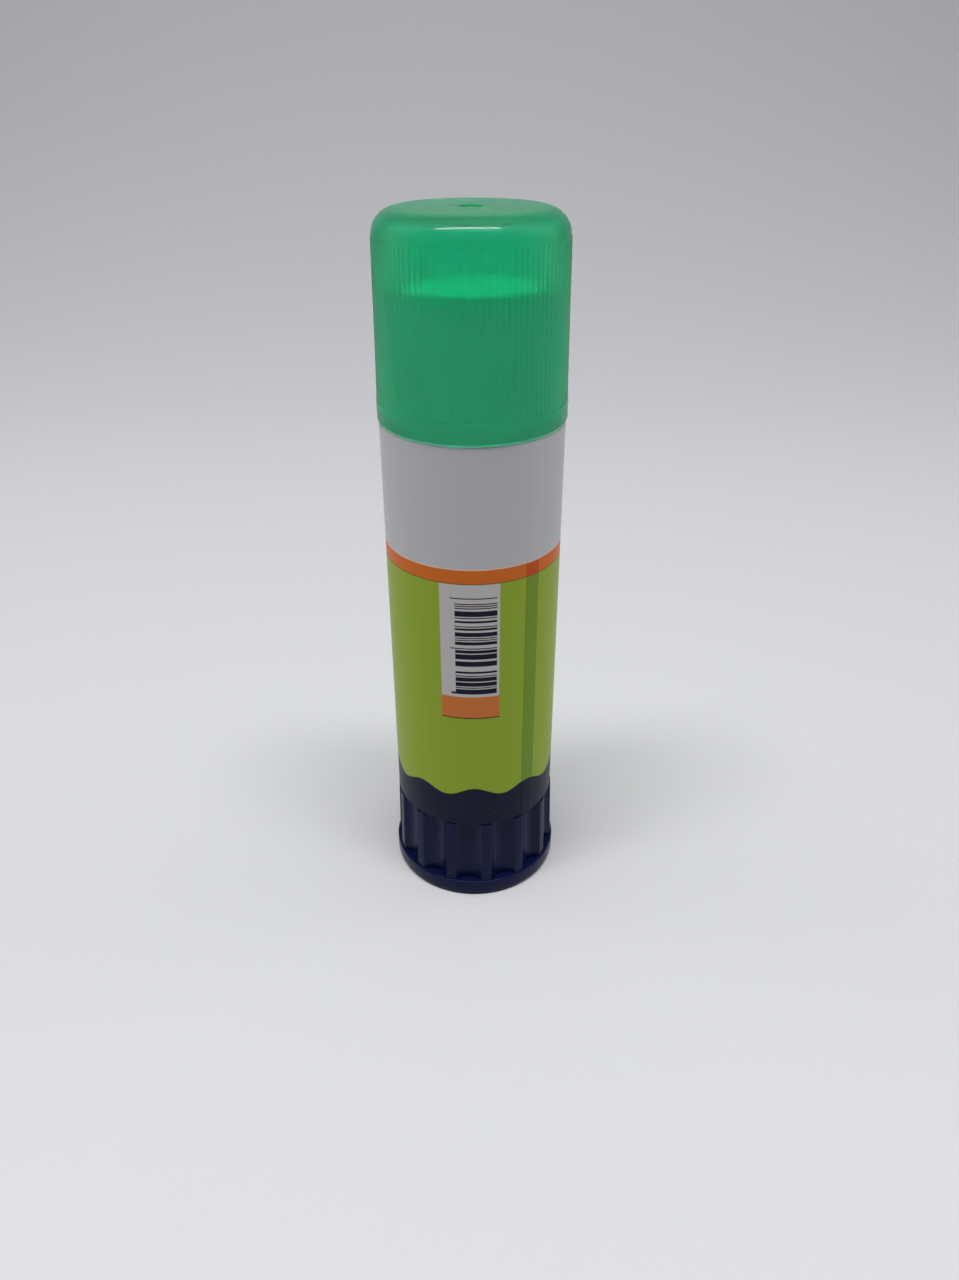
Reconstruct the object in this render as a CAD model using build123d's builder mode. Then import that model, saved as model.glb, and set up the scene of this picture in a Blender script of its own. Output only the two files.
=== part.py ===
from build123d import *
import os
from math import cos, radians, sin, tan

# Twist-up glue stick. Millimetres and degrees, +Z up, the origin at the middle of the base.
# The front is -Y, and an azimuth is an angle from the front towards +X.
# Turning the knob turns the spindle, which lifts the carrier and the glue up the bore.

# Tube, from the bore outwards
bore_r = 12.2
skirt_wall = 1.0
body_wall = 2.7
neck_wall = 1.1
collar_step = 0.35  # the seat that the cap slides over, proud of the neck
snap_bead = 0.07  # the tube's bead, proud of the collar

# Tube, from the knob upwards
knob_h = 16.9
knob_gap = 0.2
body_h = 73.4
collar_h = 6.6
neck_h = 14.0
lip_edge = 0.3
bead_below_collar_top = 2.4
bead_h = 0.8

# Guide ribs in the bore, which stop the carrier from turning
guide_count = 4
guide_azimuth = 45.0
guide_rise = 0.5
guide_w = 1.2
guide_setback = 5.0  # below the lip

# Printed wrap
label_t = 0.1
label_margin = 0.2
lap_azimuth = 35.0
lap_angle = 10.5

# Knob
knob_wall = 0.8  # at the bottom of a flute
flute_depth = 1.3
flute_count = 14
flute_radius = 3.6
ridge_azimuth = 8.0
ridge_edge = 0.4
hem_step = 0.35
hem_h = 3.3
hem_edge = 0.6
foot_w = 2.25
underside_depth = 1.2
knob_floor = 1.6
socket_wall = 1.7
socket_h = 5.2

# Snap between the knob and the tube's skirt
snap_height = 6.5  # above the knob's floor
snap_h = 1.2
snap_rise = 0.45

# Screw spindle, its thread drawn plain at the crest
spindle_r = 4.2
key_flats = 7.4
key_clear = 0.05
flange_step = 1.3
flange_t = 1.5
stop_step = 1.2
stop_h = 2.2
thread_grip = 5.0  # left in the nut when the carrier is right up

# Carrier: a cup for the glue's foot, with the nut in its middle
carrier_h = 10.0
carrier_floor = 2.0
cup_wall = 1.0
nut_wall = 1.2
rim_setback = 5.1  # the rim below the lip when the carrier is right up

# Glue
glue_setback = 1.6  # a new stick's glue below the lip
glue_edge = 0.4
tip_cover = 0.5

# Cap
cap_wall = 1.25  # at the mouth
cap_h = 30.6
cap_hem_h = 3.2
cap_hem_step = 0.07
cap_draft = 0.87
cap_rib_count = 100
cap_rib_depth = 0.22
cap_rib_step = 0.03  # from the bottom of a groove in to the shoulder
cap_shoulder = 4.2
shoulder_share = 0.26  # of the shoulder, at the middle of its round
cap_inner_edge = 1.8
cap_roof = 1.3
cap_bead_h = 1.0
cap_bead_height = 1.2  # above the mouth
gate_r = 1.75
gate_depth = 0.35
cap_nub_r = 0.6
cap_nub_h = 0.25

# Clearances, shared by the fits
run_clear = 0.2  # between pieces that turn or slide on each other
seat_clear = 0.3  # under a piece that rests on another
press_clear = 0.05  # between pieces that stay together
core_clear = 0.3  # between the glue and the spindle
cap_fit = 0.25  # between the cap and the collar
bead_clear = 0.04  # between the cap's bead and the tube's
overrun = 1.0  # how far a cut runs past a face

# Radii worked out from the walls
skirt_r = bore_r + skirt_wall
body_r = bore_r + body_wall
neck_r = bore_r + neck_wall
collar_r = neck_r + collar_step
label_r = body_r + label_t
knob_bore_r = skirt_r + run_clear
snap_in_r = knob_bore_r - snap_rise
snap_groove_r = snap_in_r - run_clear
flute_valley_r = knob_bore_r + knob_wall
knob_r = flute_valley_r + flute_depth
hem_r = knob_r + hem_step
nut_r = spindle_r + run_clear
nut_boss_r = nut_r + nut_wall
carrier_r = bore_r - run_clear
cup_r = carrier_r - cup_wall
guide_clear_r = bore_r - guide_rise - run_clear
guide_clear_w = guide_w + 2 * run_clear

# Heights from the base
floor_z = underside_depth + knob_floor
socket_z = floor_z + socket_h
snap_z = floor_z + snap_height
body_z = knob_h + knob_gap
shoulder_z = body_z + body_h
collar_z = shoulder_z + collar_h
lip_z = collar_z + neck_h
guide_top_z = lip_z - guide_setback
stop_z = socket_z + flange_t
carrier_z = stop_z + stop_h + seat_clear
rim_z = carrier_z + carrier_h
glue_z = lip_z - glue_setback
feed_travel = lip_z - rim_setback - rim_z
spindle_z = carrier_z + feed_travel + thread_grip
cap_z = shoulder_z + knob_gap
cap_top_z = cap_z + cap_h


# Tube: the skirt inside the knob, the wrapped body, the cap's collar and the neck
with BuildPart() as barrel:
    skirt_z = floor_z + seat_clear
    groove_z = snap_z - run_clear
    groove_top_z = snap_z + snap_h + run_clear
    bead_z = collar_z - bead_below_collar_top
    bead_r = collar_r + snap_bead
    with BuildSketch(Plane.XZ) as tube_half:
        with BuildLine():
            Polyline(
                (bore_r, skirt_z),
                (skirt_r, skirt_z),
                (skirt_r, groove_z),
                (snap_groove_r, groove_z),
                (snap_groove_r, groove_top_z),
                (skirt_r, groove_top_z),
                (skirt_r, body_z),
                (body_r, body_z),
                (body_r, shoulder_z),
                (collar_r, shoulder_z),
                (collar_r, bead_z - bead_h / 2),
                (bead_r, bead_z),
                (collar_r, bead_z + bead_h / 2),
                (collar_r, collar_z),
                (neck_r, collar_z),
                (neck_r, lip_z),
                (bore_r, lip_z),
                close=True,
            )
        make_face()
        lip_corner = tube_half.vertices().group_by(Axis.Y)[-1].sort_by(Axis.X)[-1]
        chamfer(lip_corner, length=lip_edge)
    revolve(axis=Axis.Z)
    with BuildSketch(Plane.XY.offset(skirt_z)):
        with PolarLocations(0, guide_count, start_angle=guide_azimuth):
            with Locations((bore_r - guide_rise / 2 + skirt_wall / 4, 0)):
                Rectangle(guide_rise + skirt_wall / 2, guide_w)
    extrude(amount=guide_top_z - skirt_z)
barrel.part.label = "barrel"

# Printed film round the body, with a second layer where its ends lap
with BuildPart() as label:
    label_z = body_z + label_margin
    label_top_z = shoulder_z - label_margin
    with BuildSketch(Plane.XY.offset(label_z)):
        Circle(label_r)
        Circle(body_r, mode=Mode.SUBTRACT)
    extrude(amount=label_top_z - label_z)
    lap_start = radians(lap_azimuth - 90)
    lap_out = (cos(lap_start), sin(lap_start), 0)
    lap_across = (sin(lap_start), -cos(lap_start), 0)
    with BuildSketch(Plane(origin=(0, 0, 0), x_dir=lap_out, z_dir=lap_across)):
        with BuildLine():
            Polyline(
                (label_r - label_t / 2, label_z),
                (label_r + label_t, label_z),
                (label_r + label_t, label_top_z),
                (label_r - label_t / 2, label_top_z),
                close=True,
            )
        make_face()
    revolve(axis=Axis.Z, revolution_arc=lap_angle)
label.part.label = "label"

# Knob: fluted sides on a plain hem, an inner bead that snaps into the tube's groove,
# and a hexagonal socket for the spindle
with BuildPart() as knob:
    with BuildSketch(Plane.XY.offset(hem_h)) as fluted:
        Circle(knob_r)
        first_flute = ridge_azimuth + 180 / flute_count - 90
        with PolarLocations(
            flute_valley_r + flute_radius, flute_count, start_angle=first_flute
        ):
            Circle(flute_radius, mode=Mode.SUBTRACT)
        chamfer(fluted.vertices(), length=ridge_edge)
    extrude(amount=knob_h - hem_h)
    with BuildSketch(Plane.XZ) as hem_half:
        with BuildLine():
            Polyline((0, 0), (hem_r, 0), (hem_r, hem_h), (0, hem_h), close=True)
        make_face()
        foot_corner = hem_half.vertices().group_by(Axis.Y)[0].sort_by(Axis.X)[-1]
        chamfer(foot_corner, length=hem_edge)
    revolve(axis=Axis.Z)
    with BuildSketch(Plane.XZ):
        with BuildLine():
            Polyline(
                (0, floor_z),
                (knob_bore_r, floor_z),
                (knob_bore_r, snap_z),
                (snap_in_r, snap_z + snap_h / 2),
                (knob_bore_r, snap_z + snap_h),
                (knob_bore_r, knob_h + overrun),
                (0, knob_h + overrun),
                close=True,
            )
        make_face()
    revolve(axis=Axis.Z, mode=Mode.SUBTRACT)
    with BuildSketch(Plane.XY):
        Circle(hem_r - foot_w)
    extrude(amount=underside_depth, mode=Mode.SUBTRACT)
    socket_flats = key_flats + 2 * key_clear
    with BuildSketch(Plane.XY.offset(floor_z)):
        Circle(socket_flats / 2 + socket_wall + key_clear)
        RegularPolygon(socket_flats / 2, 6, major_radius=False, mode=Mode.SUBTRACT)
    extrude(amount=socket_h)
knob.part.label = "knob"

# Screw spindle: a hexagonal key in the knob's socket, a flange on top of the socket,
# a stop that the lowered carrier rests on, and the threaded rod
with BuildPart() as lead_screw:
    with BuildSketch(Plane.XY.offset(floor_z + press_clear)):
        RegularPolygon(key_flats / 2, 6, major_radius=False)
    extrude(amount=socket_h - press_clear)
    stop_r = spindle_r + stop_step
    flange_r = stop_r + flange_step
    with BuildSketch(Plane.XZ):
        with BuildLine():
            Polyline(
                (0, socket_z),
                (flange_r, socket_z),
                (flange_r, stop_z),
                (stop_r, stop_z),
                (stop_r, stop_z + stop_h),
                (spindle_r, stop_z + stop_h),
                (spindle_r, spindle_z),
                (0, spindle_z),
                close=True,
            )
        make_face()
    revolve(axis=Axis.Z)
lead_screw.part.label = "lead_screw"

# Carrier: the nut in a cup, notched round the guide ribs
with BuildPart() as carrier:
    with BuildSketch(Plane.XZ):
        with BuildLine():
            Polyline(
                (nut_r, carrier_z),
                (carrier_r, carrier_z),
                (carrier_r, rim_z),
                (cup_r, rim_z),
                (cup_r, carrier_z + carrier_floor),
                (nut_boss_r, carrier_z + carrier_floor),
                (nut_boss_r, rim_z),
                (nut_r, rim_z),
                close=True,
            )
        make_face()
    revolve(axis=Axis.Z)
    with BuildSketch(Plane.XY.offset(carrier_z)):
        with PolarLocations(0, guide_count, start_angle=guide_azimuth):
            with Locations((guide_clear_r + overrun, 0)):
                Rectangle(2 * overrun, guide_clear_w)
    extrude(amount=carrier_h, mode=Mode.SUBTRACT)
carrier.part.label = "carrier"

# Glue, cast in the cup and round the spindle, with the marks of the guide ribs in its side
with BuildPart() as glue_column:
    foot_z = carrier_z + carrier_floor
    step_z = rim_z + press_clear
    core_r = spindle_r + core_clear
    core_z = spindle_z + tip_cover
    with BuildSketch(Plane.XZ) as glue_half:
        with BuildLine():
            Polyline(
                (nut_boss_r + press_clear, foot_z),
                (cup_r - press_clear, foot_z),
                (cup_r - press_clear, step_z),
                (carrier_r, step_z),
                (carrier_r, glue_z),
                (0, glue_z),
                (0, core_z),
                (core_r, core_z),
                (core_r, step_z),
                (nut_boss_r + press_clear, step_z),
                close=True,
            )
        make_face()
        glue_corner = glue_half.vertices().group_by(Axis.Y)[-1].sort_by(Axis.X)[-1]
        chamfer(glue_corner, length=glue_edge)
    revolve(axis=Axis.Z)
    with BuildSketch(Plane.XY.offset(step_z)):
        with PolarLocations(0, guide_count, start_angle=guide_azimuth):
            with Locations((guide_clear_r + overrun, 0)):
                Rectangle(2 * overrun, guide_clear_w)
    extrude(amount=guide_top_z + run_clear - step_z, mode=Mode.SUBTRACT)
glue_column.part.label = "glue_column"

# Cap: a drafted wall of fine ribs on a plain hem, a shoulder that rounds over to the flat top,
# an inner bead that grips under the tube's, and the mark of the moulding gate in the top
with BuildPart() as cap:
    cap_bore_r = collar_r + cap_fit
    cap_r = cap_bore_r + cap_wall
    cap_hem_z = cap_z + cap_hem_h
    cap_shoulder_z = cap_top_z - cap_shoulder
    with BuildSketch(Plane.XY.offset(cap_z)):
        Circle(cap_r + cap_hem_step)
    extrude(amount=cap_hem_h)
    for rib_z in (cap_hem_z, cap_shoulder_z):
        crest_r = cap_r - tan(radians(cap_draft)) * (rib_z - cap_z)
        valley_r = crest_r - cap_rib_depth
        rib_points = []
        for i in range(cap_rib_count):
            crest = radians(360 * i / cap_rib_count)
            valley = radians(360 * (i + 1 / 2) / cap_rib_count)
            rib_points.append((crest_r * cos(crest), crest_r * sin(crest)))
            rib_points.append((valley_r * cos(valley), valley_r * sin(valley)))
        with BuildSketch(Plane.XY.offset(rib_z)):
            Polygon(*rib_points, align=None)
    loft(ruled=True)
    shoulder_r = valley_r - cap_rib_step
    shoulder_in = cap_shoulder * shoulder_share
    with BuildSketch(Plane.XZ):
        with BuildLine():
            Polyline(
                (0, cap_shoulder_z),
                (shoulder_r, cap_shoulder_z),
                (shoulder_r - shoulder_in, cap_top_z - shoulder_in),
                (shoulder_r - cap_shoulder, cap_top_z),
                (0, cap_top_z),
                close=True,
            )
        make_face()
    revolve(axis=Axis.Z)
    bead_in_cap_r = bead_r + bead_clear
    cap_bead_z = cap_z + cap_bead_height
    roof_z = cap_top_z - cap_roof
    with BuildSketch(Plane.XZ) as cap_inside:
        with BuildLine():
            Polyline(
                (0, cap_z - overrun),
                (cap_bore_r, cap_z - overrun),
                (cap_bore_r, cap_bead_z),
                (bead_in_cap_r, cap_bead_z + cap_bead_h / 2),
                (cap_bore_r, cap_bead_z + cap_bead_h),
                (cap_bore_r, roof_z),
                (0, roof_z),
                close=True,
            )
        make_face()
        inner_corner = cap_inside.vertices().group_by(Axis.Y)[-1].sort_by(Axis.X)[-1]
        chamfer(inner_corner, length=cap_inner_edge)
    revolve(axis=Axis.Z, mode=Mode.SUBTRACT)
    with BuildSketch(Plane.XY.offset(cap_top_z)):
        Circle(gate_r)
        Circle(cap_nub_r, mode=Mode.SUBTRACT)
    extrude(amount=-gate_depth, mode=Mode.SUBTRACT)
    with BuildSketch(Plane.XY.offset(cap_top_z)):
        Circle(cap_nub_r)
    extrude(amount=cap_nub_h - gate_depth, mode=Mode.SUBTRACT)
cap.part.label = "cap"

os.makedirs("parts", exist_ok=True)
for piece in (barrel, label, knob, lead_screw, carrier, glue_column, cap):
    export_step(piece.part, f"parts/{piece.part.label}.step")
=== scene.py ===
from math import atan2, cos, degrees, hypot, pi, radians, sin, tan

import bpy
from mathutils import Matrix, Vector


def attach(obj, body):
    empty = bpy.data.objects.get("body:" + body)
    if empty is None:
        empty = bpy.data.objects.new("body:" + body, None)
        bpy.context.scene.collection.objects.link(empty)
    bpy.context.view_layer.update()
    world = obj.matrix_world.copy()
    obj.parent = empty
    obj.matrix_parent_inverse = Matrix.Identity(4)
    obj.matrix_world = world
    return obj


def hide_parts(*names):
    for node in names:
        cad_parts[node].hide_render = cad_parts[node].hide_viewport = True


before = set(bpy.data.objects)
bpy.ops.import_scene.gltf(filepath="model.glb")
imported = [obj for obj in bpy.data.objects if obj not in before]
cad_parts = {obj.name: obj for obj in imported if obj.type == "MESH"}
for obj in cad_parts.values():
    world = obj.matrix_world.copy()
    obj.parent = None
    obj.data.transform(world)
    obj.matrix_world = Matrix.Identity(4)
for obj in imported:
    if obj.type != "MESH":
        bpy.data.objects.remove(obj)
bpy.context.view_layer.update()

# ---- Turning knob ----
# A navy cup of injection-moulded polypropylene with fourteen flutes, snapped onto the tube's
# skirt. It stands on the rim round its recessed underside, and its hem is left plain.
mm = 0.001
knob_r, knob_top_r = 15.5, 15.15
knob_bore_r = 13.4
knob_top = 16.9
hem_r, hem_top = 15.85, 3.3
foot_inner_r = 13.6
floor_under, floor_top = 1.2, 2.8
flutes = 14
flute_columns = 32
ridge_azimuth = 8
scallop_r, scallop_centre = 3.6, 17.8
ridge_softness = 0.16
plastic_index = 1.49
mix_a, mix_b = 6, 7  # the two colour inputs of a Mix node


def section(*corners):
    """The half section (r, z) in mm, its corners rounded where a third number gives a radius."""
    points = []
    for i, corner in enumerate(corners):
        here = Vector(corner[:2])
        if len(corner) == 2:
            points.append(here)
            continue
        back = (Vector(corners[i - 1][:2]) - here).normalized()
        ahead = (Vector(corners[(i + 1) % len(corners)][:2]) - here).normalized()
        half = back.angle(ahead) / 2
        centre = here + (back + ahead).normalized() * corner[2] / sin(half)
        first = here + back * corner[2] / tan(half) - centre
        turn = first.angle_signed(here + ahead * corner[2] / tan(half) - centre)
        count = max(3, round(abs(degrees(turn)) / 12))
        for k in range(count + 1):
            points.append(centre + Matrix.Rotation(-turn * k / count, 2) @ first)
    return points


def draw_line(points):
    """The points (r, z) joined up as a line of edges in a new mesh, left in edit mode."""
    bpy.ops.object.select_all(action="DESELECT")
    bpy.ops.mesh.primitive_plane_add(size=mm)
    bpy.ops.object.mode_set(mode="EDIT")
    bpy.ops.mesh.select_mode(type="VERT")
    bpy.ops.mesh.select_all(action="SELECT")
    bpy.ops.mesh.merge(type="CENTER")
    bpy.ops.transform.translate(value=(points[0].x * mm, 0, points[0].y * mm))
    for here, there in zip(points, points[1:]):
        step = (there - here) * mm
        bpy.ops.mesh.extrude_region_move(TRANSFORM_OT_translate={"value": (step.x, 0, step.y)})
    return bpy.context.object


def turned(name, points, steps):
    """A piece spun about the tube's axis from its half section, which starts and ends on the axis
    or else is closed into a ring."""
    piece = draw_line(points + [points[0]] if points[0].x > 0 else points)
    piece.name = piece.data.name = name
    bpy.ops.mesh.select_all(action="SELECT")
    bpy.ops.mesh.spin(steps=steps, angle=2 * pi, center=(0, 0, 0), axis=(0, 0, 1))
    bpy.ops.mesh.select_all(action="SELECT")
    bpy.ops.mesh.remove_doubles(threshold=0.001 * mm)
    bpy.ops.mesh.normals_make_consistent(inside=False)
    bpy.ops.object.mode_set(mode="OBJECT")
    return piece


def press(piece, share_at):
    """Draws points towards the axis, to the share of their radius that share_at(r, azimuth, z)
    gives, in mm and in degrees from the front."""
    groups = {}
    for v in piece.data.vertices:
        r = hypot(v.co.x, v.co.y) / mm
        share = round(share_at(r, degrees(atan2(v.co.x, -v.co.y)), v.co.z / mm), 5)
        if share != 1:
            groups.setdefault(share, []).append(v.index)
    for share, indices in groups.items():
        bpy.ops.object.mode_set(mode="EDIT")
        bpy.ops.mesh.select_all(action="DESELECT")
        bpy.ops.object.mode_set(mode="OBJECT")
        for i in indices:
            piece.data.vertices[i].select = True
        bpy.ops.object.mode_set(mode="EDIT")
        bpy.ops.transform.resize(value=(share, share, 1), center_override=(0, 0, 0))
        bpy.ops.object.mode_set(mode="OBJECT")


def srgb(code):
    """A hex colour as linear red, green, blue and alpha."""
    values = [int(code[i:i + 2], 16) / 255 for i in (1, 3, 5)]
    return [v / 12.92 if v < 0.04045 else ((v + 0.055) / 1.055) ** 2.4 for v in values] + [1]


def add_node(tree, kind, inputs, **settings):
    """A node with its settings. An input is a value, a socket, or a node for its first output."""
    node = tree.nodes.new(kind)
    for key, value in settings.items():
        setattr(node, key, value)
    for key, value in inputs.items():
        if isinstance(value, bpy.types.Node):
            value = next(output for output in value.outputs if output.enabled)
        if isinstance(value, bpy.types.NodeSocket):
            tree.links.new(value, node.inputs[key])
        else:
            node.inputs[key].default_value = value
    return node


knob = turned("knob_moulding", section(
    (0, 0.8), (1, 0.8, 0.15), (1, floor_under), (foot_inner_r, floor_under, 0.3),
    (foot_inner_r, 0, 0.25), (hem_r, 0, 0.9), (hem_r, hem_top, 0.25), (knob_r, hem_top),
    (knob_top_r, knob_top, 0.15), (knob_bore_r, knob_top, 0.1), (knob_bore_r, floor_top),
    (0, floor_top)), flutes * flute_columns)


def flute_share(r, azimuth, z):
    """The flutes: scallops 1.3 mm deep, with soft ridges between them, above the plain hem."""
    if not 14.9 < r < knob_r + 0.01 or z < hem_top - 0.01:
        return 1
    pitch = 360 / flutes
    off = radians((azimuth - ridge_azimuth) % pitch - pitch / 2)
    across = min(scallop_centre * sin(abs(off)), scallop_r * 0.999)
    valley = scallop_centre * cos(off) - (scallop_r ** 2 - across ** 2) ** 0.5
    blend = max(0, min(1, 0.5 + (knob_r - valley) / (2 * ridge_softness)))
    soft_r = knob_r * (1 - blend) + valley * blend - ridge_softness * blend * (1 - blend)
    return soft_r / knob_r


press(knob, flute_share)
bpy.ops.object.shade_smooth_by_angle(angle=radians(40))

# Navy polypropylene from a lightly polished mould: satin, with a fine unevenness in its gloss.
navy_plastic = bpy.data.materials.new("navy_polypropylene_moulded")
navy_plastic.use_nodes = True
tree = navy_plastic.node_tree
shader = tree.nodes["Principled BSDF"]
place = add_node(tree, "ShaderNodeTexCoord", {}).outputs["Object"]
cloud = add_node(tree, "ShaderNodeTexNoise", {"Vector": place, "Scale": 1 / (6 * mm), "Detail": 3})
tint = add_node(tree, "ShaderNodeMix", {0: cloud, mix_a: srgb("#0c143a"), mix_b: srgb("#101942")},
                data_type="RGBA")
gloss = add_node(tree, "ShaderNodeMapRange", {"Value": cloud, "To Min": 0.22, "To Max": 0.3})
grain = add_node(tree, "ShaderNodeTexNoise", {"Vector": place, "Scale": 1 / (0.5 * mm)})
bump = add_node(tree, "ShaderNodeBump", {"Height": grain, "Strength": 0.06, "Distance": 0.05 * mm})
tree.links.new(tint.outputs[2], shader.inputs["Base Color"])
tree.links.new(gloss.outputs[0], shader.inputs["Roughness"])
tree.links.new(bump.outputs[0], shader.inputs["Normal"])
shader.inputs["IOR"].default_value = plastic_index
shader.inputs["Specular IOR Level"].default_value = 0.13
knob.data.materials.append(navy_plastic)
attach(knob, "knob")
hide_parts("knob")

# ---- Screw spindle ----
# A rod of natural polypropylene with a coarse right-hand thread of 6 mm lead, on a flange and
# stop. Its hexagonal foot is pressed into the knob's socket, so it turns with the knob.
flange_r, flange_under, flange_top = 6.7, 8, 9.5
stop_r, stop_top = 5.4, 11.7
key_flats, key_h, key_middle = 7.4, 5.2, 5.45
root_r, crest_r = 3.2, 4.2
thread_lead, thread_turns = 6, 17
thread_start, thread_end = 12, 101

spindle = turned("spindle_foot", section(
    (0, flange_under), (flange_r, flange_under, 0.2), (flange_r, flange_top, 0.2),
    (stop_r, flange_top), (stop_r, stop_top, 0.3), (root_r - 0.1, stop_top),
    (root_r - 0.1, thread_start + 0.2), (0, thread_start + 0.2)), 64)
bpy.ops.object.select_all(action="DESELECT")
bpy.ops.mesh.primitive_cylinder_add(
    vertices=6, radius=key_flats / 2 / cos(radians(30)) * mm, depth=key_h * mm,
    location=(0, 0, key_middle * mm))
hexagon = bpy.context.object
bpy.ops.object.transform_apply(location=True)
bpy.ops.object.modifier_add(type="BEVEL")
hexagon.modifiers[0].width = 0.3 * mm
hexagon.modifiers[0].segments = 2
bpy.ops.object.modifier_apply(modifier=hexagon.modifiers[0].name)

# One pitch of the thread's side, wound up the rod by the Screw modifier and cut off square.
thread = draw_line([Vector(point) for point in (
    (root_r, 6), (root_r, 8), (crest_r, 8.9), (crest_r, 10.5), (root_r, 11.4), (root_r, 12))])
bpy.ops.object.mode_set(mode="OBJECT")
bpy.ops.object.modifier_add(type="SCREW")
thread.modifiers[0].screw_offset = thread_lead * mm
thread.modifiers[0].iterations = thread_turns
thread.modifiers[0].steps = thread.modifiers[0].render_steps = 48
thread.modifiers[0].use_merge_vertices = True
thread.modifiers[0].merge_threshold = 0.002 * mm
bpy.ops.object.modifier_apply(modifier=thread.modifiers[0].name)
bpy.ops.object.mode_set(mode="EDIT")
bpy.ops.mesh.select_all(action="SELECT")
bpy.ops.mesh.remove_doubles(threshold=0.002 * mm)
for height, below in ((thread_start, True), (thread_end, False)):
    bpy.ops.mesh.select_all(action="SELECT")
    bpy.ops.mesh.bisect(plane_co=(0, 0, height * mm), plane_no=(0, 0, 1), use_fill=True,
                        clear_inner=below, clear_outer=not below)
bpy.ops.mesh.select_all(action="SELECT")
bpy.ops.mesh.normals_make_consistent(inside=False)
bpy.ops.object.mode_set(mode="OBJECT")
for piece in (thread, hexagon, spindle):
    piece.select_set(True)
bpy.context.view_layer.objects.active = spindle
bpy.ops.object.join()
spindle.name = spindle.data.name = "spindle_threaded"
bpy.ops.object.shade_smooth_by_angle(angle=radians(35))

# Natural, undyed polypropylene: milky white, a little waxy, and satin as it leaves the mould.
natural_plastic = bpy.data.materials.new("natural_polypropylene_moulded")
natural_plastic.use_nodes = True
tree = natural_plastic.node_tree
shader = tree.nodes["Principled BSDF"]
place = add_node(tree, "ShaderNodeTexCoord", {}).outputs["Object"]
cloud = add_node(tree, "ShaderNodeTexNoise", {"Vector": place, "Scale": 1 / (5 * mm), "Detail": 3})
tint = add_node(tree, "ShaderNodeMix", {0: cloud, mix_a: srgb("#dfe1dc"), mix_b: srgb("#e9ebe6")},
                data_type="RGBA")
gloss = add_node(tree, "ShaderNodeMapRange", {"Value": cloud, "To Min": 0.38, "To Max": 0.5})
tree.links.new(tint.outputs[2], shader.inputs["Base Color"])
tree.links.new(gloss.outputs[0], shader.inputs["Roughness"])
shader.inputs["IOR"].default_value = plastic_index
shader.inputs["Subsurface Weight"].default_value = 0.2
shader.inputs["Subsurface Radius"].default_value = (1, 1, 0.9)
shader.inputs["Subsurface Scale"].default_value = 1.5 * mm
spindle.data.materials.append(natural_plastic)
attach(spindle, "knob")
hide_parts("lead_screw")

# ---- Carrier ----
# The piston that lifts the glue: a moulded cup of the same natural plastic, with the nut for
# the spindle in its middle and a notch round each guide rib of the bore.
piston_r = 12
cup_inner_r, nut_outer_r, nut_r = 11, 5.6, 4.4
carrier_under, carrier_floor, carrier_rim = 12, 14, 22
guide_azimuths = (45, 135, -45, -135)
notch_r, notch_w = 11.5, 1.6


def beside_guide(azimuth, width):
    """Whether an azimuth lies within a width, in mm, that is centred on a guide rib."""
    nearest = min(abs((azimuth - guide + 180) % 360 - 180) for guide in guide_azimuths)
    return nearest < degrees(width / 2 / piston_r)


carrier = turned("carrier_cup", section(
    (nut_r, carrier_under, 0.2), (piston_r, carrier_under, 0.5), (piston_r, carrier_rim, 0.2),
    (cup_inner_r, carrier_rim, 0.2), (cup_inner_r, carrier_floor, 0.6),
    (nut_outer_r, carrier_floor, 0.4), (nut_outer_r, carrier_rim, 0.2),
    (nut_r, carrier_rim, 0.2)), 240)
press(carrier, lambda r, azimuth, z:
      notch_r / piston_r if r > 11.4 and beside_guide(azimuth, notch_w) else 1)
bpy.ops.object.shade_smooth_by_angle(angle=radians(35))
carrier.data.materials.append(natural_plastic)
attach(carrier, "carrier")
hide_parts("carrier")

# ---- Glue column ----
# The stick of glue, cast hot into the cup and round the spindle, so that it sets in one piece
# with them. It is a firm off-white soap gel, and the guide ribs leave four grooves in its side.
glue_r, glue_top = 12, 109.5
core_r, core_top = 4.5, 101.5
cup_gap = 0.05
guide_top, guide_slope = 106.1, 0.2

glue = turned("glue_stick_paste", section(
    (0, core_top), (core_r, core_top), (core_r, carrier_rim + cup_gap),
    (nut_outer_r + cup_gap, carrier_rim + cup_gap), (nut_outer_r + cup_gap, carrier_floor),
    (cup_inner_r - cup_gap, carrier_floor), (cup_inner_r - cup_gap, carrier_rim + cup_gap),
    (glue_r, carrier_rim + cup_gap), (glue_r, guide_top), (glue_r, guide_top + guide_slope),
    (glue_r, glue_top, 1.1), (0, glue_top)), 240)
press(glue, lambda r, azimuth, z:
      notch_r / glue_r
      if r > 11.4 and z < guide_top + guide_slope / 2 and beside_guide(azimuth, notch_w) else 1)
bpy.ops.object.shade_smooth_by_angle(angle=radians(35))

# Glue paste: waxy and faintly see-through, with light passing into it, and a dull wet gloss.
glue_paste = bpy.data.materials.new("glue_paste_waxy")
glue_paste.use_nodes = True
tree = glue_paste.node_tree
shader = tree.nodes["Principled BSDF"]
place = add_node(tree, "ShaderNodeTexCoord", {}).outputs["Object"]
cloud = add_node(tree, "ShaderNodeTexNoise", {"Vector": place, "Scale": 1 / (4 * mm), "Detail": 4})
tint = add_node(tree, "ShaderNodeMix", {0: cloud, mix_a: srgb("#e4e3d8"), mix_b: srgb("#efeee6")},
                data_type="RGBA")
gloss = add_node(tree, "ShaderNodeMapRange", {"Value": cloud, "To Min": 0.35, "To Max": 0.55})
bump = add_node(tree, "ShaderNodeBump", {"Height": cloud, "Strength": 0.25, "Distance": 0.3 * mm})
tree.links.new(tint.outputs[2], shader.inputs["Base Color"])
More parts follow.
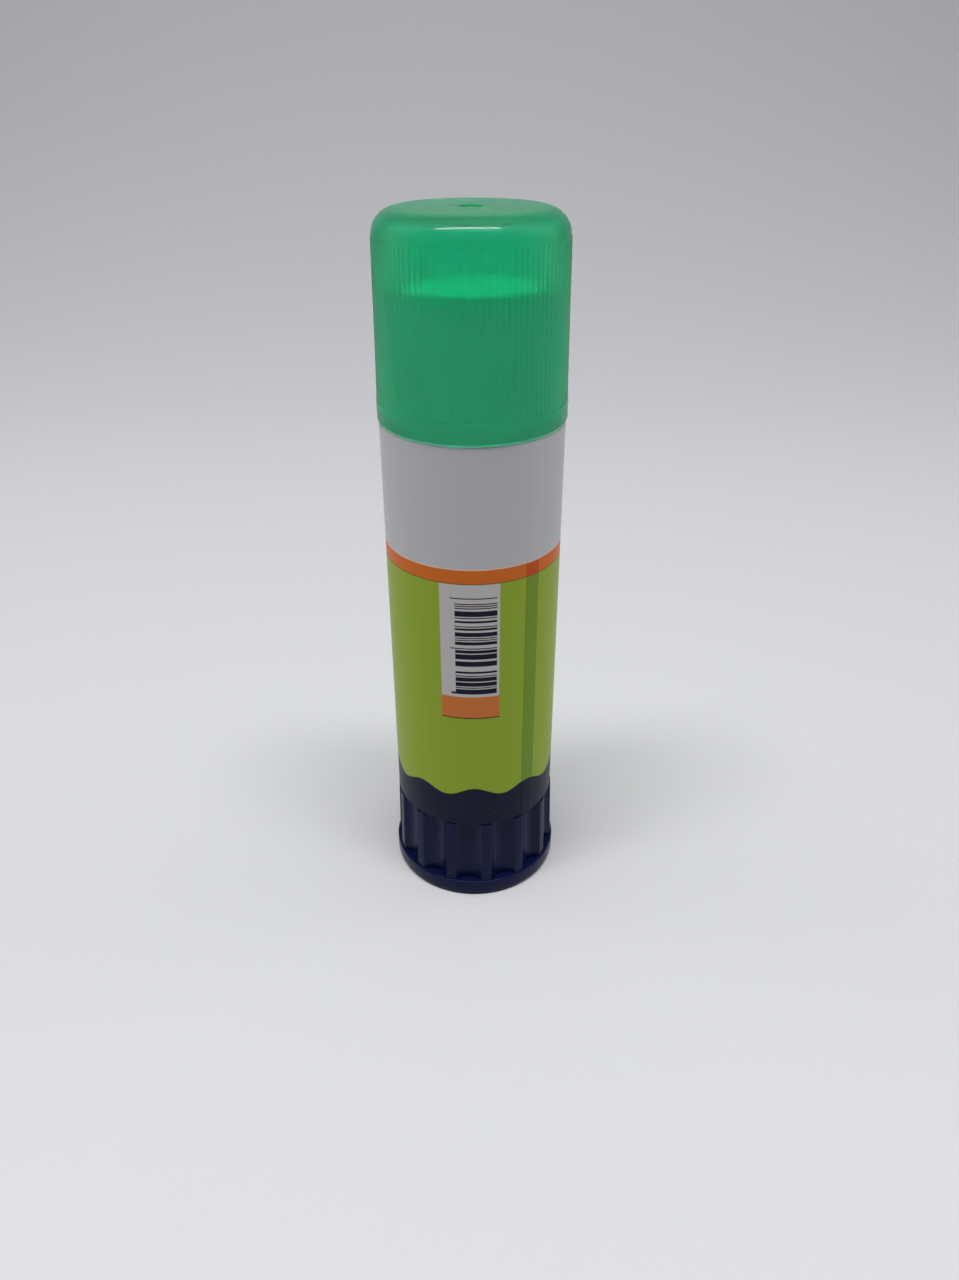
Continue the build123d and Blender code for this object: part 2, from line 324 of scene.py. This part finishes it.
tree.links.new(gloss.outputs[0], shader.inputs["Roughness"])
tree.links.new(bump.outputs[0], shader.inputs["Normal"])
shader.inputs["IOR"].default_value = 1.45
shader.inputs["Subsurface Weight"].default_value = 0.35
shader.inputs["Subsurface Radius"].default_value = (1, 0.95, 0.8)
shader.inputs["Subsurface Scale"].default_value = 2 * mm
glue.data.materials.append(glue_paste)
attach(glue, "carrier")
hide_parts("glue_column")

# ---- Tube ----
# The white tube, moulded in polypropylene: a skirt that the knob snaps on to, the wrapped body,
# the collar and bead that the cap grips, the thin neck, and four guide ribs down the bore.
bore_r, guide_r, guide_w = 12.2, 11.7, 1.2
skirt_r, snap_groove_r, skirt_under = 13.2, 12.75, 3.1
tube_r, body_under, body_top = 14.88, 17.1, 90.5
collar_r, bead_r, collar_top = 13.65, 13.72, 97.1
neck_r, lip_top = 13.3, 111.1

tube = turned("tube_moulding", section(
    (bore_r, skirt_under), (skirt_r, skirt_under, 0.2), (skirt_r, 9.1), (snap_groove_r, 9.1),
    (snap_groove_r, 10.7), (skirt_r, 10.7), (skirt_r, body_under), (tube_r, body_under, 0.2),
    (tube_r, body_top, 0.25), (collar_r, body_top, 0.1), (collar_r, 94.3), (bead_r, 94.5, 0.3),
    (bead_r, 94.9, 0.3), (collar_r, 95.1), (collar_r, collar_top, 0.15), (neck_r, collar_top, 0.1),
    (neck_r, lip_top, 0.35), (bore_r, lip_top, 0.35), (bore_r, guide_top + guide_slope),
    (bore_r, guide_top)), 320)
press(tube, lambda r, azimuth, z:
      guide_r / bore_r
      if r < 12.3 and z < guide_top + guide_slope / 2 and beside_guide(azimuth, guide_w) else 1)
bpy.ops.object.shade_smooth_by_angle(angle=radians(35))

# White polypropylene: opaque, satin, with the faint waviness of a long moulding.
white_plastic = bpy.data.materials.new("white_polypropylene_moulded")
white_plastic.use_nodes = True
tree = white_plastic.node_tree
shader = tree.nodes["Principled BSDF"]
place = add_node(tree, "ShaderNodeTexCoord", {}).outputs["Object"]
cloud = add_node(tree, "ShaderNodeTexNoise", {"Vector": place, "Scale": 1 / (8 * mm), "Detail": 3})
tint = add_node(tree, "ShaderNodeMix", {0: cloud, mix_a: srgb("#d6d6d5"), mix_b: srgb("#dededd")},
                data_type="RGBA")
gloss = add_node(tree, "ShaderNodeMapRange", {"Value": cloud, "To Min": 0.32, "To Max": 0.42})
tree.links.new(tint.outputs[2], shader.inputs["Base Color"])
tree.links.new(gloss.outputs[0], shader.inputs["Roughness"])
shader.inputs["IOR"].default_value = plastic_index
tube.data.materials.append(white_plastic)
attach(tube, "barrel")
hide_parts("barrel")

# ---- Printed wrap ----
# A thin printed film glued round the tube, its two ends lapped to the right of the front. The
# print is a navy foot with a wavy edge, lime green, an orange band, white, and a bar code panel.
film_inner_r, film_r, lap_r = 14.9, 15, 15.07
film_under, film_top = 17.25, 90.25
lap = (35, 45.6)
all_round = (-181, 181)
lime_top, orange_top = 67.7, 70.2
panel = (-21.8, 16.8)
panel_under, panel_foot, panel_top = 41.7, 46, 67.6
bar_module = 0.2
bars_under, bars_middle, bars_top = 46.4, 55.6, 65.2
bar_sides, long_bar_sides = (-12, 15), (-15, -12)
long_bar_h = 0.6
bubble_r = 0.6

wrap = turned("wrap_film", section(
    (film_inner_r, film_under), (film_r, film_under), (film_r, film_top),
    (film_inner_r, film_top)), 720)
press(wrap, lambda r, azimuth, z:
      lap_r / film_r if r > 14.95 and lap[0] < azimuth < lap[1] else 1)
bpy.ops.object.shade_smooth_by_angle(angle=radians(35))

# Printed polypropylene film: inks under a satin lacquer, a faint ripple where it lies on the
# tube, and a small air bubble low on the front.
printed_film = bpy.data.materials.new("printed_film_satin")
printed_film.use_nodes = True
tree = printed_film.node_tree
shader = tree.nodes["Principled BSDF"]
place = add_node(tree, "ShaderNodeTexCoord", {}).outputs["Object"]
split = add_node(tree, "ShaderNodeSeparateXYZ", {"Vector": place})
toward = add_node(tree, "ShaderNodeMath", {0: split.outputs["Y"], 1: -1.0}, operation="MULTIPLY")
around = add_node(tree, "ShaderNodeMath", {0: split.outputs["X"], 1: toward}, operation="ARCTAN2")
azimuth = add_node(tree, "ShaderNodeMath", {0: around, 1: 180 / pi}, operation="MULTIPLY")
height = add_node(tree, "ShaderNodeMath", {0: split.outputs["Z"], 1: 1 / mm}, operation="MULTIPLY")


def printed_area(sides, under, top):
    """A mask that is 1 between two azimuths, in degrees, and two heights, in mm."""
    masks = [add_node(tree, "ShaderNodeMath",
                      {0: value, 1: (low + high) / 2, 2: (high - low) / 2}, operation="COMPARE")
             for value, (low, high) in ((azimuth, sides), (height, (under, top)))]
    return add_node(tree, "ShaderNodeMath", {0: masks[0], 1: masks[1]}, operation="MULTIPLY")


# The bars: rows of one module each, dark or light by chance. In every seven rows the first is
# light and the fourth is dark, so no bar or gap grows too wide. Longer bars stand at both ends
# and in the middle.
row = add_node(tree, "ShaderNodeMath", {0: height, 1: 1 / bar_module}, operation="MULTIPLY")
row = add_node(tree, "ShaderNodeMath", {0: row}, operation="FLOOR")
chance = add_node(tree, "ShaderNodeTexWhiteNoise", {"W": row}, noise_dimensions="1D")
dark = add_node(tree, "ShaderNodeMath", {0: chance.outputs["Value"], 1: 0.43},
                operation="GREATER_THAN")
of_seven = add_node(tree, "ShaderNodeMath", {0: row, 1: 7.0}, operation="FLOORED_MODULO")
fourth = add_node(tree, "ShaderNodeMath", {0: of_seven, 1: 3.0, 2: 0.5}, operation="COMPARE")
not_first = add_node(tree, "ShaderNodeMath", {0: of_seven, 1: 3.5, 2: 3.0}, operation="COMPARE")
dark = add_node(tree, "ShaderNodeMath", {0: dark, 1: fourth}, operation="MAXIMUM")
dark = add_node(tree, "ShaderNodeMath", {0: dark, 1: not_first}, operation="MULTIPLY")
bars = printed_area(bar_sides, bars_under, bars_top)
for under in (bars_under, bars_middle, bars_top - long_bar_h):
    longer = printed_area(long_bar_sides, under, under + long_bar_h)
    bars = add_node(tree, "ShaderNodeMath", {0: bars, 1: longer}, operation="MAXIMUM")
bars = add_node(tree, "ShaderNodeMath", {0: bars, 1: dark}, operation="MULTIPLY")

# The navy foot ends in a wave: nine swells round the tube, on a slow rise and fall.
wave_2 = add_node(tree, "ShaderNodeMath", {0: around, 1: 2.0}, operation="MULTIPLY")
wave_2 = add_node(tree, "ShaderNodeMath", {0: wave_2}, operation="COSINE")
wave_9 = add_node(tree, "ShaderNodeMath", {0: around, 1: 9.0}, operation="MULTIPLY")
wave_9 = add_node(tree, "ShaderNodeMath", {0: wave_9}, operation="COSINE")
edge = add_node(tree, "ShaderNodeMath", {0: wave_2, 1: 0.5, 2: 24.55}, operation="MULTIPLY_ADD")
edge = add_node(tree, "ShaderNodeMath", {0: wave_9, 1: 0.8, 2: edge}, operation="MULTIPLY_ADD")
foot = add_node(tree, "ShaderNodeMath", {0: height, 1: edge}, operation="LESS_THAN")

# The inks in the order in which they lie on the white film. They are deeper where it is lapped.
ink = srgb("#c6c6c9")
for mask, code in (
        (printed_area(all_round, 0, lime_top), "#98b136"),
        (printed_area(lap, 0, lime_top), "#7a9a30"),
        (printed_area(all_round, lime_top, orange_top), "#dc7026"),
        (printed_area(lap, lime_top, orange_top), "#cc5422"),
        (printed_area(all_round, lime_top - 0.08, lime_top + 0.1), "#8d5a2a"),
        (printed_area(all_round, orange_top - 0.05, orange_top + 0.15), "#e6cdbd"),
        (printed_area(panel, panel_foot, panel_top), "#cbc7c7"),
        (printed_area(panel, panel_under, panel_foot), "#d67a3e"),
        (printed_area((-22.1, 17.1), panel_under - 0.25, panel_under), "#5c4a2c"),
        (bars, "#171a2a"),
        (foot, "#141b33")):
    ink = add_node(tree, "ShaderNodeMix", {0: mask, mix_a: ink, mix_b: srgb(code)},
                   data_type="RGBA").outputs[2]
tree.links.new(ink, shader.inputs["Base Color"])

ripple = add_node(tree, "ShaderNodeTexNoise", {"Vector": place, "Scale": 1 / (7 * mm), "Detail": 2})
spot = add_node(tree, "ShaderNodeVectorMath", {0: place, 1: (2.6 * mm, -14.77 * mm, 19.9 * mm)},
                operation="DISTANCE")
bubble = add_node(tree, "ShaderNodeMapRange", {
    "Value": spot.outputs["Value"], "From Min": 0.0, "From Max": bubble_r * mm,
    "To Min": 1.0, "To Max": 0.0}, interpolation_type="SMOOTHSTEP")
skin = add_node(tree, "ShaderNodeBump", {"Height": ripple, "Strength": 0.3, "Distance": 0.15 * mm})
skin = add_node(tree, "ShaderNodeBump", {"Height": bubble, "Strength": 1.0,
                                         "Distance": bubble_r * mm, "Normal": skin})
tree.links.new(skin.outputs[0], shader.inputs["Normal"])
shader.inputs["Roughness"].default_value = 0.34
shader.inputs["IOR"].default_value = plastic_index
shader.inputs["Specular IOR Level"].default_value = 0.1
wrap.data.materials.append(printed_film)
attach(wrap, "barrel")
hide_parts("label")

# ---- Cap ----
# A push-on cap of see-through green polypropylene. A hundred fine grip ribs run up its wall from
# a plain hem and die away on the shoulder, and a bead inside the mouth snaps under the tube's.
# The mark of the moulding gate is left in the middle of its top.
cap_top, cap_mouth = 121.3, 90.7
cap_hem_r, cap_bore_r, cap_bead_r = 15.22, 13.9, 13.76
shoulder_r, shoulder_round = 14.68, 3.75
cap_ribs, rib_columns = 100, 6
rib_depth = 0.07
rib_under, rib_top = 93.92, 117.4
gate_r, gate_floor = 1.75, 120.95
cap_roof_under = 120

cap = turned("cap_moulding", section(
    (0, 121.2), (0.6, 121.2, 0.1), (0.6, gate_floor), (gate_r, gate_floor), (gate_r, cap_top, 0.12),
    (shoulder_r, cap_top, shoulder_round), (14.69, rib_top + 0.1), (14.78, rib_top), (14.9, 108),
    (15.13, rib_under), (15.2, 93.9), (cap_hem_r, cap_mouth, 0.25), (cap_bore_r, cap_mouth, 0.3),
    (cap_bore_r, 91.9), (cap_bead_r, 92.4, 0.3), (cap_bore_r, 92.9), (13.6, 112),
    (13.5, cap_roof_under, 1.3), (0, cap_roof_under)), cap_ribs * rib_columns)


def rib_share(r, azimuth, z):
    """The grooves between the ribs, which end a little below the shoulder."""
    if r < 14.2 or not rib_under - 0.01 < z < rib_top + 0.05:
        return 1
    return 1 - rib_depth / r * (0.5 - 0.5 * cos(radians(azimuth * cap_ribs)))


press(cap, rib_share)
bpy.ops.object.shade_smooth_by_angle(angle=radians(60))

# Green polypropylene: a clear dye in a plastic that is never quite clear, so what is behind it
# blurs, and a long way through its wall turns deep and vivid. Its index is set below the real
# one, because a pale room mirrored at its edges would grey them. A thin coat gives the highlight.
green_plastic = bpy.data.materials.new("green_polypropylene_translucent")
green_plastic.use_nodes = True
tree = green_plastic.node_tree
shader = tree.nodes["Principled BSDF"]
shader.inputs["Base Color"].default_value = srgb("#7cebcd")
shader.inputs["Roughness"].default_value = 0.3
shader.inputs["IOR"].default_value = 1.14
shader.inputs["Transmission Weight"].default_value = 0.9
shader.inputs["Subsurface Weight"].default_value = 1
shader.inputs["Subsurface Radius"].default_value = (0.1, 1, 0.5)
shader.inputs["Subsurface Scale"].default_value = 3 * mm
shader.inputs["Specular IOR Level"].default_value = 0.06
shader.inputs["Coat Weight"].default_value = 0.13
shader.inputs["Coat IOR"].default_value = 2.0
shader.inputs["Coat Roughness"].default_value = 0.02
dye = add_node(tree, "ShaderNodeVolumeAbsorption", {"Color": srgb("#6cfaee"), "Density": 1 / mm})
output = next(node for node in tree.nodes if node.type == "OUTPUT_MATERIAL")
tree.links.new(dye.outputs[0], output.inputs["Volume"])
cap.data.materials.append(green_plastic)
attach(cap, "cap")
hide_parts("cap")

# ---- Table and backdrop ----
# A sheet of pale grey paper, laid flat under the stick and curved up behind it, so that the
# camera sees no edge or corner. Its colour carries a painted shade: a little darker and bluer
# towards the back.
paper_size, paper_rise, paper_bend = 3, 1.5, 0.5
paper_far = 0.8


def pick_edges(piece, belongs):
    """Selects the edges with both their ends where belongs(point) holds, and nothing else."""
    mesh = piece.data
    for part in (*mesh.vertices, *mesh.edges, *mesh.polygons):
        part.select = False
    for line in mesh.edges:
        if all(belongs(mesh.vertices[i].co) for i in line.vertices):
            line.select = True
            for i in line.vertices:
                mesh.vertices[i].select = True


bpy.ops.object.select_all(action="DESELECT")
bpy.ops.mesh.primitive_plane_add(size=paper_size, location=(0, paper_far - paper_size / 2, 0))
paper = bpy.context.object
paper.name = "paper_sweep"
bpy.ops.object.transform_apply(location=True)
pick_edges(paper, lambda point: point.y > paper_far - 0.01)
bpy.ops.object.mode_set(mode="EDIT")
bpy.ops.mesh.select_mode(type="EDGE")
bpy.ops.mesh.extrude_region_move(TRANSFORM_OT_translate={"value": (0, 0, paper_rise)})
bpy.ops.object.mode_set(mode="OBJECT")
pick_edges(paper, lambda point: point.y > paper_far - 0.01 and point.z < 0.01)
bpy.ops.object.mode_set(mode="EDIT")
bpy.ops.mesh.bevel(offset=paper_bend, segments=32)
bpy.ops.object.mode_set(mode="OBJECT")
bpy.ops.object.shade_smooth()

# Matt paper: even in texture and without gloss, with a painted shade that makes it a little darker
# and bluer towards the back.
pale_paper = bpy.data.materials.new("paper_matt_pale")
pale_paper.use_nodes = True
tree = pale_paper.node_tree
shader = tree.nodes["Principled BSDF"]
place = add_node(tree, "ShaderNodeTexCoord", {}).outputs["Object"]
split = add_node(tree, "ShaderNodeSeparateXYZ", {"Vector": place})
# Painted shade: the paper's colour turns a little darker and bluer towards the back.
back_shade_mask = add_node(tree, "ShaderNodeMapRange", {
    "Value": split.outputs["Y"], "From Min": -0.15, "From Max": 1.2},
    interpolation_type="SMOOTHSTEP")
shaded_paper_tone = add_node(tree, "ShaderNodeMix", {0: back_shade_mask, mix_a: srgb("#dedee0"), mix_b: srgb("#dcdde1")},
                data_type="RGBA")
tree.links.new(shaded_paper_tone.outputs[2], shader.inputs["Base Color"])
shader.inputs["Roughness"].default_value = 0.9
shader.inputs["Specular IOR Level"].default_value = 0.2
paper.data.materials.append(pale_paper)

# ---- Light and camera ----
# One long soft lamp overhead, a little to the front, and a sky that is bright at the sides and
# behind and dark towards the camera. Where it is seen itself, or through the cap, it is pale.
sky_strength, seen_strength = 0.95, 0.42
camera_tilt, camera_pan, camera_roll = -0.53835, -0.00708, -0.00263

bpy.ops.object.light_add(type="AREA", location=(-0.04, -0.17, 0.92), rotation=(0.2, 0, 0))
lamp = bpy.context.object
lamp.name = "overhead_lamp"
lamp.data.shape = "RECTANGLE"
lamp.data.size, lamp.data.size_y = 0.76, 0.13
lamp.data.energy = 6.0

world = bpy.data.worlds.new("soft_sky")
bpy.context.scene.world = world
world.use_nodes = True
tree = world.node_tree
toward = add_node(tree, "ShaderNodeTexCoord", {}).outputs["Generated"]
toward = add_node(tree, "ShaderNodeSeparateXYZ", {"Vector": toward})
level = add_node(tree, "ShaderNodeMapRange", {
    "Value": toward.outputs["Y"], "From Min": -0.6, "From Max": 0.3, "To Min": 0.0,
    "To Max": sky_strength}, interpolation_type="SMOOTHSTEP")
ray = add_node(tree, "ShaderNodeLightPath", {})
seen = add_node(tree, "ShaderNodeMath", {0: ray.outputs["Is Camera Ray"],
                                         1: ray.outputs["Is Transmission Ray"]},
                operation="MAXIMUM")
seen = add_node(tree, "ShaderNodeMath", {0: seen, 1: seen_strength}, operation="MULTIPLY")
level = add_node(tree, "ShaderNodeMath", {0: level, 1: seen}, operation="MAXIMUM")
tree.nodes["Background"].inputs["Color"].default_value = (0.97, 0.98, 1, 1)
tree.links.new(level.outputs[0], tree.nodes["Background"].inputs["Strength"])

bpy.ops.object.camera_add(location=(0, -0.1487, 0.1373))
camera = bpy.context.object
camera.data.lens = 26.55
camera.data.sensor_width = 36
camera.matrix_world = (Matrix.Translation(camera.location)
                       @ Matrix.Rotation(camera_pan, 4, "Z")
                       @ Matrix.Rotation(pi / 2 + camera_tilt, 4, "X")
                       @ Matrix.Rotation(camera_roll, 4, "Z"))
bpy.context.scene.camera = camera
bpy.context.scene.view_settings.view_transform = "Standard"
